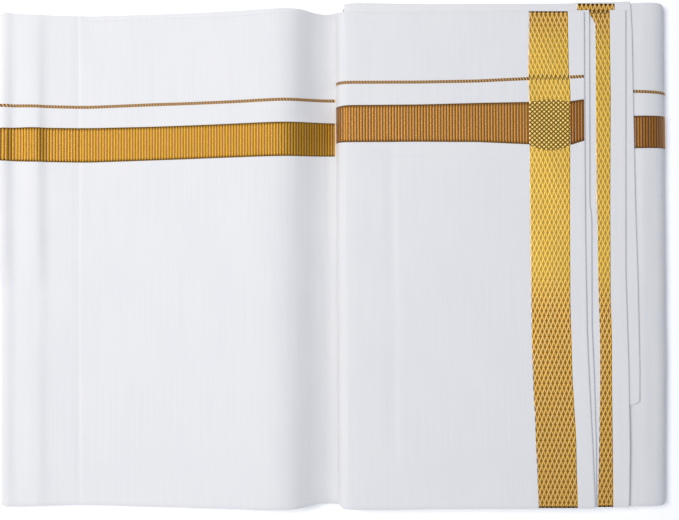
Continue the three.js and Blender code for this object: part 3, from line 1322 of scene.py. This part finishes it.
@dataclass(frozen=True)
class Finishes:
    """The materials that the pieces share."""

    cotton: Material
    gold: Material
    # painted shade: a darker copy of the same gold, for a band turned partly away from the key light
    half_shaded_gold: Material
    # painted shade: the darkest copy of the same gold, for bands that turn away from the key light
    shaded_gold: Material
    beads: Material


def rows_between(front: float, back: float, step: float, close_ups: Sequence[CloseUp] = ()) -> Array:
    """A leaf's stations from front to back, as shares of the whole way."""
    return np.clip((graded(front, back, step, close_ups) - front) / (back - front), 0, 1)


def level(left: float, right: float, height: float) -> Section:
    """A flat section at one height."""
    return Section(tuple((x, height) for x in (left, *KNOTS, right)))


@dataclass
class LeftHalf:
    """The left page of the open pack, with its band and line."""

    section: Section = Section((
        (-214.5, 7.3), (-215.4, 8.7), (-214.6, 10.3), (-211.5, 11.4), (-204, 11.2), (-188, 9.6),
        (-162, 8.2), (-130, 9.2), (-95, 12.3), (-64, 16.9), (-48, 19.6), (-38, 20.6), (-31, 20.1),
        (-25, 18.4), (-19, 15.5), (-13, 12.2), (-8, 9.8), (-4, 8.2), (0, 7.3), (4.4, 7),
    ))
    edges: tuple[Edge, ...] = (
        Edge(-215, -161.9, 155.9), Edge(-200, -161.5, 154.8), Edge(-160, -161.3, 154.3),
        Edge(-130, -162.0, 154.9), Edge(-85, -162.1, 155.4), Edge(-22, -161.5, 156.5),
        Edge(-12, -159.6, 154.9), Edge(-4, -160.2, 155.0), Edge(3, -160.9, 157.3),
        Edge(5, -161.0, 157.3),
    )
    ends: tuple[End, ...] = (
        End(-162, -213.5, 4.4), End(-60, -214.1, 4.4), End(90, -213.8, 4.4), End(156, -213.5, 4.4),
    )
    borders: tuple[BorderPlace, ...] = (
        BorderPlace(-215, 60.8, 81.5, 96.1), BorderPlace(-200, 60.2, 82.0, 95.9),
        BorderPlace(-160, 59.9, 81.9, 95.5), BorderPlace(-118, 61.1, 82.6, 96.9),
        BorderPlace(-75, 62.2, 83.5, 97.6), BorderPlace(-22, 63.2, 84.7, 98.9),
        BorderPlace(2, 64.0, 85.1, 99.8),
    )
    creases: tuple[Crease, ...] = (
        Crease((-213.6, -20), (-213.6, 176), -2.3, 1.1, 4.5, 0.1),
        Crease((-213.4, -176), (-213.6, 20), -1.0, 1.1, 4.5, 0.1),
        Crease((-205.5, -168), (-206, 176), 0.4, 3.0, 6.0),
        Crease((-191.6, -20), (-192.0, 182), -1.8, 9.0, 4.8, 0.3),
        Crease((-191.0, -176), (-191.4, 20), -1.1, 9.0, 4.8, 0.3),
        Crease((-165.0, -168), (-165.4, 166), 0.35, 2.6, 0.9, 0.1),
        Crease((-30, 90), (-26, 176), -1.6, 16.0, 11.0),
        Crease((-32, -176), (-30, -100), -0.7, 16.0, 11.0),
    )
    close_places: tuple[CloseUp, ...] = ((-212, 5, 0.4), (-188, 6, 0.5), (-165, 2, 0.35))
    border_start: float = 0.5
    border_end: float = 0.2

    def leaf(self) -> Leaf:
        """The page's leaf, with finer stations round its creases.

        Returns:
            The leaf.
        """
        close_ups = tuple((self.section.way_to(x), reach, step) for x, reach, step in self.close_places)
        return Leaf(
            "left_leaf", self.section, self.edges, self.ends,
            across=graded(0, self.section.length, 0.85, close_ups),
            rows=rows_between(-161.5, 155, 3.0, [(152.5, 3.5, 0.35)]),
            start_corner=3.0,
            creases=self.creases,
            steps=(PlyStep(3.0, 0.55, -160, -24),),
            swell=Swell(0.22, 57, 91, 0.8),
            close_ups=close_ups,
        )

    def build(self, finishes: Finishes) -> Leaf:
        """Args:
            finishes: The materials.

        Returns:
            The leaf.
        """
        leaf = self.leaf()
        piece = leaf.build(finishes.cotton)
        first, last = self.border_start, self.section.way_to(self.border_end)
        band = Band("left_band", leaf, self.borders, first, last).build(finishes.gold)
        line = ThinLine("left_line", leaf, self.borders, first, last).build(finishes.beads)
        leaf.flat_size()
        return leaf


@dataclass
class RightHalf:
    """The right page: five leaves, one on another, with their borders and stripes."""

    base_section: Section = Section((
        (9, 13), (60, 13), (120, 13), (165, 13), (191, 13), (201, 12.8), (207, 11.8), (211.3, 9.8),
        (214, 7), (215.2, 5.1), (215.4, 3.7),
    ))
    base_edges: tuple[Edge, ...] = (
        Edge(9, -160.2, 159.2), Edge(150, -160.2, 159.8), Edge(190, -160.9, 161.3),
        Edge(206, -161.1, 162.1), Edge(215, -161.2, 161.9),
    )
    base_ends: tuple[End, ...] = (
        End(-161, 9, 215.4), End(-73, 9, 215.8), End(80, 9, 214.6), End(161, 9, 214.0),
    )
    base_creases: tuple[Crease, ...] = (
        Crease((205, -164), (204.5, 60), 0.35, 4.0, 4.0),
        Crease((198.5, -20), (197.5, 150), -0.25, 3.0, 4.0),
    )
    base_borders: tuple[BorderPlace, ...] = (
        BorderPlace(190, 68.6, 89.2, 105.1), BorderPlace(216, 69.1, 89.5, 104.5),
    )
    under_edges: tuple[Edge, ...] = (
        Edge(6, -160.4, 160.6), Edge(13, -160.4, 161.2), Edge(60, -160.4, 160.5),
        Edge(152, -160.4, 160.8), Edge(156, -160.4, 161.4), Edge(180, -160.4, 161.8),
        Edge(190, -160.4, 162.2),
    )
    under_ends: tuple[End, ...] = (
        End(-161, 6.5, 184.0), End(-96.4, 6.5, 184.0), End(-95.6, 6.5, 192.6), End(-93.6, 6.5, 195.3),
        End(-73, 6.5, 195.4), End(-10, 6.5, 194.0), End(35, 6.5, 192.5), End(99, 6.5, 191.2),
        End(144, 6.5, 190.3), End(162, 6.5, 189.3),
    )
    turned_sides: tuple[StripeSides, ...] = (
        StripeSides(156.7, 155.3, 179.3), StripeSides(161, 155.3, 179.3),
    )
    second_edges: tuple[Edge, ...] = (
        Edge(6, -160.6, 155.4), Edge(150, -160.6, 156.1), Edge(190, -161.0, 156.5),
    )
    second_ends: tuple[End, ...] = (
        End(-161, 6.5, 188.2), End(-124, 6.5, 188.7), End(-74, 6.5, 187.9), End(-10, 6.5, 185.9),
        End(156, 6.5, 185.9),
    )
    second_sides: tuple[StripeSides, ...] = (
        StripeSides(-161, 168.2, 178.0), StripeSides(-119, 169.1, 177.7), StripeSides(-81, 169.7, 177.2),
        StripeSides(-56, 169.6, 177.2), StripeSides(-30, 168.8, 176.4), StripeSides(33, 167.5, 176.1),
        StripeSides(102, 166.9, 176.4), StripeSides(148, 166.4, 175.7), StripeSides(151, 164.9, 175.7),
        StripeSides(153.5, 162.8, 175.7), StripeSides(157, 162.6, 175.7),
    )
    inner_edges: tuple[Edge, ...] = (Edge(14, -160.4, 153.6), Edge(167, -160.4, 154.4))
    inner_ends: tuple[End, ...] = (
        End(-161, 14, 166.9), End(-120, 14, 166.6), End(-76, 14, 165.3), End(-45, 14, 163.9),
        End(24, 14, 163.7), End(33, 14, 162.5), End(154, 14, 162.3),
    )
    top_section: Section = Section((
        (2.3, 8), (1.8, 10.6), (2.2, 13.8), (3.9, 17), (7, 19.1), (12, 19.6), (30, TOP_TOP),
        (60, TOP_TOP), (90, TOP_TOP), (125, TOP_TOP), (160, TOP_TOP),
    ))
    top_edges: tuple[Edge, ...] = (
        Edge(2, -161.6, 154.6), Edge(25, -161.9, 154.2), Edge(65, -161.3, 154.2),
        Edge(125, -161.1, 154.7), Edge(166, -160.8, 154.9),
    )
    top_ends: tuple[End, ...] = (
        End(-162, 2.8, 165.7), End(-124, 2.7, 164.1), End(-73, 2.3, 161.5), End(-48, 2.2, 160.4),
        End(22, 2.0, 159.3), End(155, 1.6, 158.5),
    )
    top_creases: tuple[Crease, ...] = (
        Crease((38.5, -130), (36.5, 75), 0.5, 5.0, 3.0),
        Crease((3, 61.6), (120, 61.2), 0.2, 0.8, 2.2, 0.1),
    )
    top_borders: tuple[BorderPlace, ...] = (
        BorderPlace(2, 71.8, 94.3, 109.5), BorderPlace(8, 71.8, 95.1, 109.7),
        BorderPlace(54, 72.1, 95.5, 109.9), BorderPlace(92, 71.9, 96.5, 110.6),
        BorderPlace(124, 70.5, 97.1, 112.1), BorderPlace(150, 69.6, 97.4, 113.0),
        BorderPlace(160, 73.0, 99.0, 113.6),
    )
    top_sides: tuple[StripeSides, ...] = (
        StripeSides(-162, 129.9, 154.6), StripeSides(-138, 128.9, 154.0), StripeSides(-119, 128.0, 153.7),
        StripeSides(-100, 127.3, 152.6), StripeSides(-81, 126.2, 151.4), StripeSides(-56, 125.5, 150.6),
        StripeSides(-30, 124.9, 149.9), StripeSides(33, 124.4, 149.6), StripeSides(102, 123.5, 150.0),
        StripeSides(118, 123.2, 148.9), StripeSides(156, 123.6, 148.2),
    )
    top_border_ends: Point = (124.7, 151.0)
    band_crossing: Point = (69.8, 97.2)
    line_crossing: float = 112.9

    def build_base(self, finishes: Finishes) -> Leaf:
        """Builds the lowest leaf, which rolls down over the right side.

        Args:
            finishes: The materials.

        Returns:
            The leaf.
        """
        section = self.base_section
        leaf = Leaf(
            "base_leaf", section, self.base_edges, self.base_ends,
            across=graded(0, section.length, 4.0, [(section.length - 8, 26, 0.6)]),
            rows=rows_between(-160.5, 161, 3.6, [(160, 4, 0.8)]),
            end_corner=4.0,
            creases=self.base_creases,
            swell=Swell(0.16, 47, 77, 2.1),
        )
        piece = leaf.build(finishes.cotton)
        first, last = section.way_to(192.3), section.length - 1
        # the base band rolls away from the key light, so its gold is the copy with painted shade
        band = Band("base_band", leaf, self.base_borders, first, last).build(finishes.shaded_gold)
        line = ThinLine("base_line", leaf, self.base_borders, first, last).build(finishes.beads)
        leaf.flat_size()
        return leaf

    def build_under(self, finishes: Finishes) -> None:
        """Builds the leaf with a step in its end, whose cross stripe turns over at the back.

        Args:
            finishes: The materials.
        """
        section = level(6, 190, UNDER_TOP)
        leaf = Leaf(
            "under_leaf", section, self.under_edges, self.under_ends,
            across=graded(0, section.length, 5.0, [(section.length - 6, 30, 0.7)]),
            rows=rows_between(-160.4, 162, 4.0, [(-95.3, 3, 0.3), (160, 4, 0.6), (29.8, 3, 0.4)]),
            end_softness=0.5,
            swell=Swell(0.06, 47, 77, 0.3),
        )
        piece = leaf.build(finishes.cotton)
        near, far = self.turned_sides[0].y, self.turned_sides[-1].y
        lattice = LatticeGold("zari_turned", (far - near) / DIAMOND_HEIGHT, dashes=(0.0, 1.0)).material()
        turned = Stripe("under_stripe", leaf, self.turned_sides, near, far).build(lattice)
        leaf.flat_size()

    def build_second(self, finishes: Finishes) -> None:
        """Builds the leaf with the second stripe.

        Args:
            finishes: The materials.
        """
        section = level(6, 190, SECOND_TOP)
        leaf = Leaf(
            "second_leaf", section, self.second_edges, self.second_ends,
            across=graded(0, section.length, 5.0, [(section.length - 10, 30, 0.7)]),
            rows=rows_between(-160.8, 156.3, 4.5, [(155, 4, 0.6)]),
            swell=Swell(0.05, 47, 77, 1.3),
        )
        piece = leaf.build(finishes.cotton)
        edge = self.second_edges[-1]
        rows = (edge.back - edge.front) / DIAMOND_HEIGHT
        lattice = LatticeGold("zari_second", rows, zigzag=0.34, dashes=(1.0, 0.0)).material()
        stripe = Stripe(
            "second_stripe", leaf, self.second_sides, edge.front, edge.back, softness=1.0
        ).build(lattice)
        leaf.flat_size()

    def build_inner(self, finishes: Finishes) -> None:
        """Builds the leaf just under the top one, of which a sliver shows.

        Args:
            finishes: The materials.
        """
        section = level(14, 167, INNER_TOP)
        leaf = Leaf(
            "inner_leaf", section, self.inner_edges, self.inner_ends,
            across=graded(0, section.length, 6.0, [(section.length - 2, 8, 0.6)]),
            rows=rows_between(-160.4, 154, 3.5),
            end_softness=2.0,
            swell=Swell(0.04, 47, 77, 1.9),
        )
        piece = leaf.build(finishes.cotton)
        leaf.flat_size()

    def build_top(self, finishes: Finishes) -> None:
        """Builds the page that shows, rolled down on its left, with its borders round the stripe.

        Args:
            finishes: The materials.
        """
        section = self.top_section
        leaf = Leaf(
            "top_leaf", section, self.top_edges, self.top_ends,
            across=graded(0, section.length, 0.9),
            rows=rows_between(-161.3, 154.8, 2.6, [(61.4, 5, 0.5)]),
            start_corner=3.5,
            creases=self.top_creases,
            swell=Swell(0.2, 69, 103, 1.1),
        )
        piece = leaf.build(finishes.cotton)
        before = (0.5, section.way_to(self.top_border_ends[0]))
        after = (section.way_to(self.top_border_ends[1]), section.length - 0.2)
        borders = [
            # the band before the stripe takes the gold with some painted shade, the band after it the gold
            # with more
            Band("top_band", leaf, self.top_borders, *before).build(finishes.half_shaded_gold),
            ThinLine("top_line", leaf, self.top_borders, *before).build(finishes.beads),
            Band("top_band_end", leaf, self.top_borders, *after).build(finishes.shaded_gold),
            ThinLine("top_line_end", leaf, self.top_borders, *after).build(finishes.beads),
        ]
        edge = self.top_edges[-1]
        low, high, beside, rows = (
            (y - edge.front) / DIAMOND_HEIGHT for y in (*self.band_crossing, self.line_crossing, edge.back)
        )
        lattice = LatticeGold("zari_stripe", rows, crossing=(low, high), line_crossing=beside).material()
        borders.append(Stripe("top_stripe", leaf, self.top_sides, edge.front, edge.back).build(lattice))
        leaf.flat_size()

    def build(self, finishes: Finishes) -> Leaf:
        """Builds the five leaves from the lowest up, with their borders.

        Args:
            finishes: The materials.

        Returns:
            The base leaf, which the hidden layers lie under.
        """
        base = self.build_base(finishes)
        self.build_under(finishes)
        self.build_second(finishes)
        self.build_inner(finishes)
        self.build_top(finishes)
        return base


def under_side(leaf: Leaf, start: float, columns: int, rows: int, inset: float) -> Array:
    """The underside of a leaf as a grid, for the layers below it.

    Args:
        leaf: The leaf.
        start: The way along its section where the grid starts.
        columns, rows: The size of the grid.
        inset: How far it stays in from the leaf's front and back edges.

    Returns:
        (columns, rows, 3) points in millimetres.
    """
    way = np.linspace(start, leaf.section.length - 1, columns)
    front, back = leaf.limits(way)
    share = np.linspace(0, 1, rows)
    y = front[:, None] + inset + (back - front - 2 * inset)[:, None] * share[None, :]
    grid = leaf.surface(np.broadcast_to(way[:, None], y.shape), y)
    return grid - (LEAF_WALL + GAP) * normals_of(grid)


@dataclass
class HiddenLayers:
    """The layers that no one sees: a stack under each page, and the outermost panels under both."""

    half_width: float = 213.6
    left_start: float = -211.0
    left_end: float = 3.9
    right_start: float = 5.4
    right_end: float = 212.5
    inset: float = 0.8
    spine: tuple[tuple[float, float, float], ...] = ((-3.6, 0, -1.3), (-2.8, 0, -0.5), (-1.5, 0, 0))
    edges: tuple[Edge, ...] = (
        Edge(-214, -160.6, 153.2), Edge(-15, -159.4, 153.2), Edge(15, -159.4, 157.4),
        Edge(214, -160.2, 159.8),
    )
    corner: float = 5.0
    softness: float = 8.0

    def outer_top(self) -> Array:
        """The outermost panels' upper side: level, with round corners.

        Returns:
            (columns, rows, 3) points in millimetres.
        """
        x = np.linspace(-self.half_width, self.half_width, 110)
        inset = corner_inset(self.half_width - np.abs(x), self.corner)
        front = read(self.edges, "front", x, self.softness) + inset
        back = read(self.edges, "back", x, self.softness) - inset
        y = front[:, None] + (back - front)[:, None] * np.linspace(0, 1, 90)
        return np.stack([np.broadcast_to(x[:, None], y.shape), y, np.full_like(y, OUTER_TOP)], axis=-1)

    def build(self, left: Leaf, base: Leaf, cotton: Material) -> None:
        """Builds the three stacks.

        Args:
            left: The leaf over the left stack.
            base: The leaf over the right stack, whose spine reaches on into the gutter.
            cotton: Their material.
        """
        floor = OUTER_TOP + GAP
        top = under_side(left, left.section.way_to(self.left_start), 290, 68, self.inset)
        Stack("left_layers", top, floor, 8, -self.half_width, self.left_end, seed=3).build(cotton)
        top = under_side(base, 0, 80, 100, self.inset)
        top = np.concatenate([top[:1] + np.array(self.spine)[:, None], top])
        Stack("right_layers", top, floor, 6, self.right_start, self.right_end, seed=5).build(cotton)
        Stack(
            "outer_layers", self.outer_top(), 0.0, 2, -self.half_width, self.half_width,
            levels=6, stray=0.4, groove=0.4, seed=7,
        ).build(cotton)


# ---------------------------------------------------------------------------------------------------
# The studio


class Lamp(NamedTuple):
    """A rectangular light that faces straight down."""

    name: str
    place: tuple[float, float, float]
    width: float
    depth: float
    power: float
    colour: tuple[float, float, float]


@dataclass
class Studio:
    """A pale floor, soft light all round, a broad key from the back left, and the camera above."""

    camera_place: tuple[float, float, float] = (3.25, -3.2, 665.0)
    lens: float = 53.85
    sensor: float = 36.0
    floor_size: float = 6000.0
    world: float = 0.36
    sky: Colour = (0.90, 0.97, 1.13, 1.0)
    floor_white: Colour = (0.98, 0.98, 0.98, 1.0)
    floor_glow: float = 0.1
    lamps: tuple[Lamp, ...] = (
        Lamp("key", (-800.0, 200.0, 1450.0), 800.0, 560.0, 21.0, (1.0, 0.975, 0.94)),
        Lamp("overhead", (-150.0, 60.0, 1800.0), 1300.0, 1000.0, 5.2, (0.93, 0.98, 1.12)),
    )

    def camera(self) -> None:
        """The camera, straight above and level."""
        data = bpy.data.cameras.new("camera")
        data.lens, data.sensor_width = self.lens, self.sensor
        data.clip_start, data.clip_end = 0.01, 50.0
        camera = bpy.data.objects.new("camera", data)
        camera.location = [place * MM for place in self.camera_place]
        bpy.context.scene.collection.objects.link(camera)
        bpy.context.scene.camera = camera

    def floor(self) -> None:
        """The floor, just below the pack."""
        half = self.floor_size / 2 * MM
        mesh = bpy.data.meshes.new("floor")
        corners = [(-half, -half), (half, -half), (half, half), (-half, half)]
        mesh.from_pydata([(x, y, -FLOOR_DROP * MM) for x, y in corners], [], [(0, 1, 2, 3)])
        nodes = Nodes("floor")
        shader = nodes.add(
            "ShaderNodeBsdfPrincipled", {},
            {"Base Color": self.floor_white, "Roughness": 0.9, "Specular IOR Level": 0.1,
             "Emission Color": (1, 1, 1, 1), "Emission Strength": self.floor_glow},
        )
        nodes.add("ShaderNodeOutputMaterial", {}, {"Surface": shader.outputs[0]})
        mesh.materials.append(nodes.material)
        floor_object = bpy.data.objects.new("floor", mesh)
        bpy.context.scene.collection.objects.link(floor_object)

    def light(self) -> None:
        """A soft surround and the lamps, which all face straight down."""
        world = bpy.data.worlds.new("surround")
        world.use_nodes = True
        sky = world.node_tree.nodes["Background"]
        sky.inputs["Color"].default_value = self.sky
        sky.inputs["Strength"].default_value = self.world
        bpy.context.scene.world = world
        for lamp in self.lamps:
            data = bpy.data.lights.new(lamp.name, "AREA")
            data.shape = "RECTANGLE"
            data.size, data.size_y = lamp.width * MM, lamp.depth * MM
            data.energy, data.color = lamp.power, lamp.colour
            light = bpy.data.objects.new(lamp.name, data)
            light.location = [place * MM for place in lamp.place]
            light.visible_camera = False
            bpy.context.scene.collection.objects.link(light)

    def build(self) -> None:
        """Sets up the whole studio, with plain screen colours."""
        self.camera()
        self.floor()
        self.light()
        bpy.context.scene.view_settings.view_transform = "Standard"


def main() -> None:
    """Builds the studio and the pack."""
    logging.basicConfig(level=logging.INFO, format="%(message)s")
    Studio().build()
    finishes = Finishes(
        cotton=Cotton().material(),
        # one gold yarn in three copies: the two darker ones are painted shade for bands that turn away
        # from the key light
        gold=RibbedGold("zari_ribs", srgb(212, 164, 52), srgb(130, 80, 12)).material(),
        half_shaded_gold=RibbedGold("zari_ribs_half_shaded", srgb(206, 150, 66), srgb(118, 70, 22)).material(),
        shaded_gold=RibbedGold("zari_ribs_shaded", srgb(192, 132, 56), srgb(92, 52, 18)).material(),
        beads=BeadedGold().material(),
    )
    left = LeftHalf().build(finishes)
    base = RightHalf().build(finishes)
    HiddenLayers().build(left, base, finishes.cotton)


if __name__ == "__main__":
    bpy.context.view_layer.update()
    main()
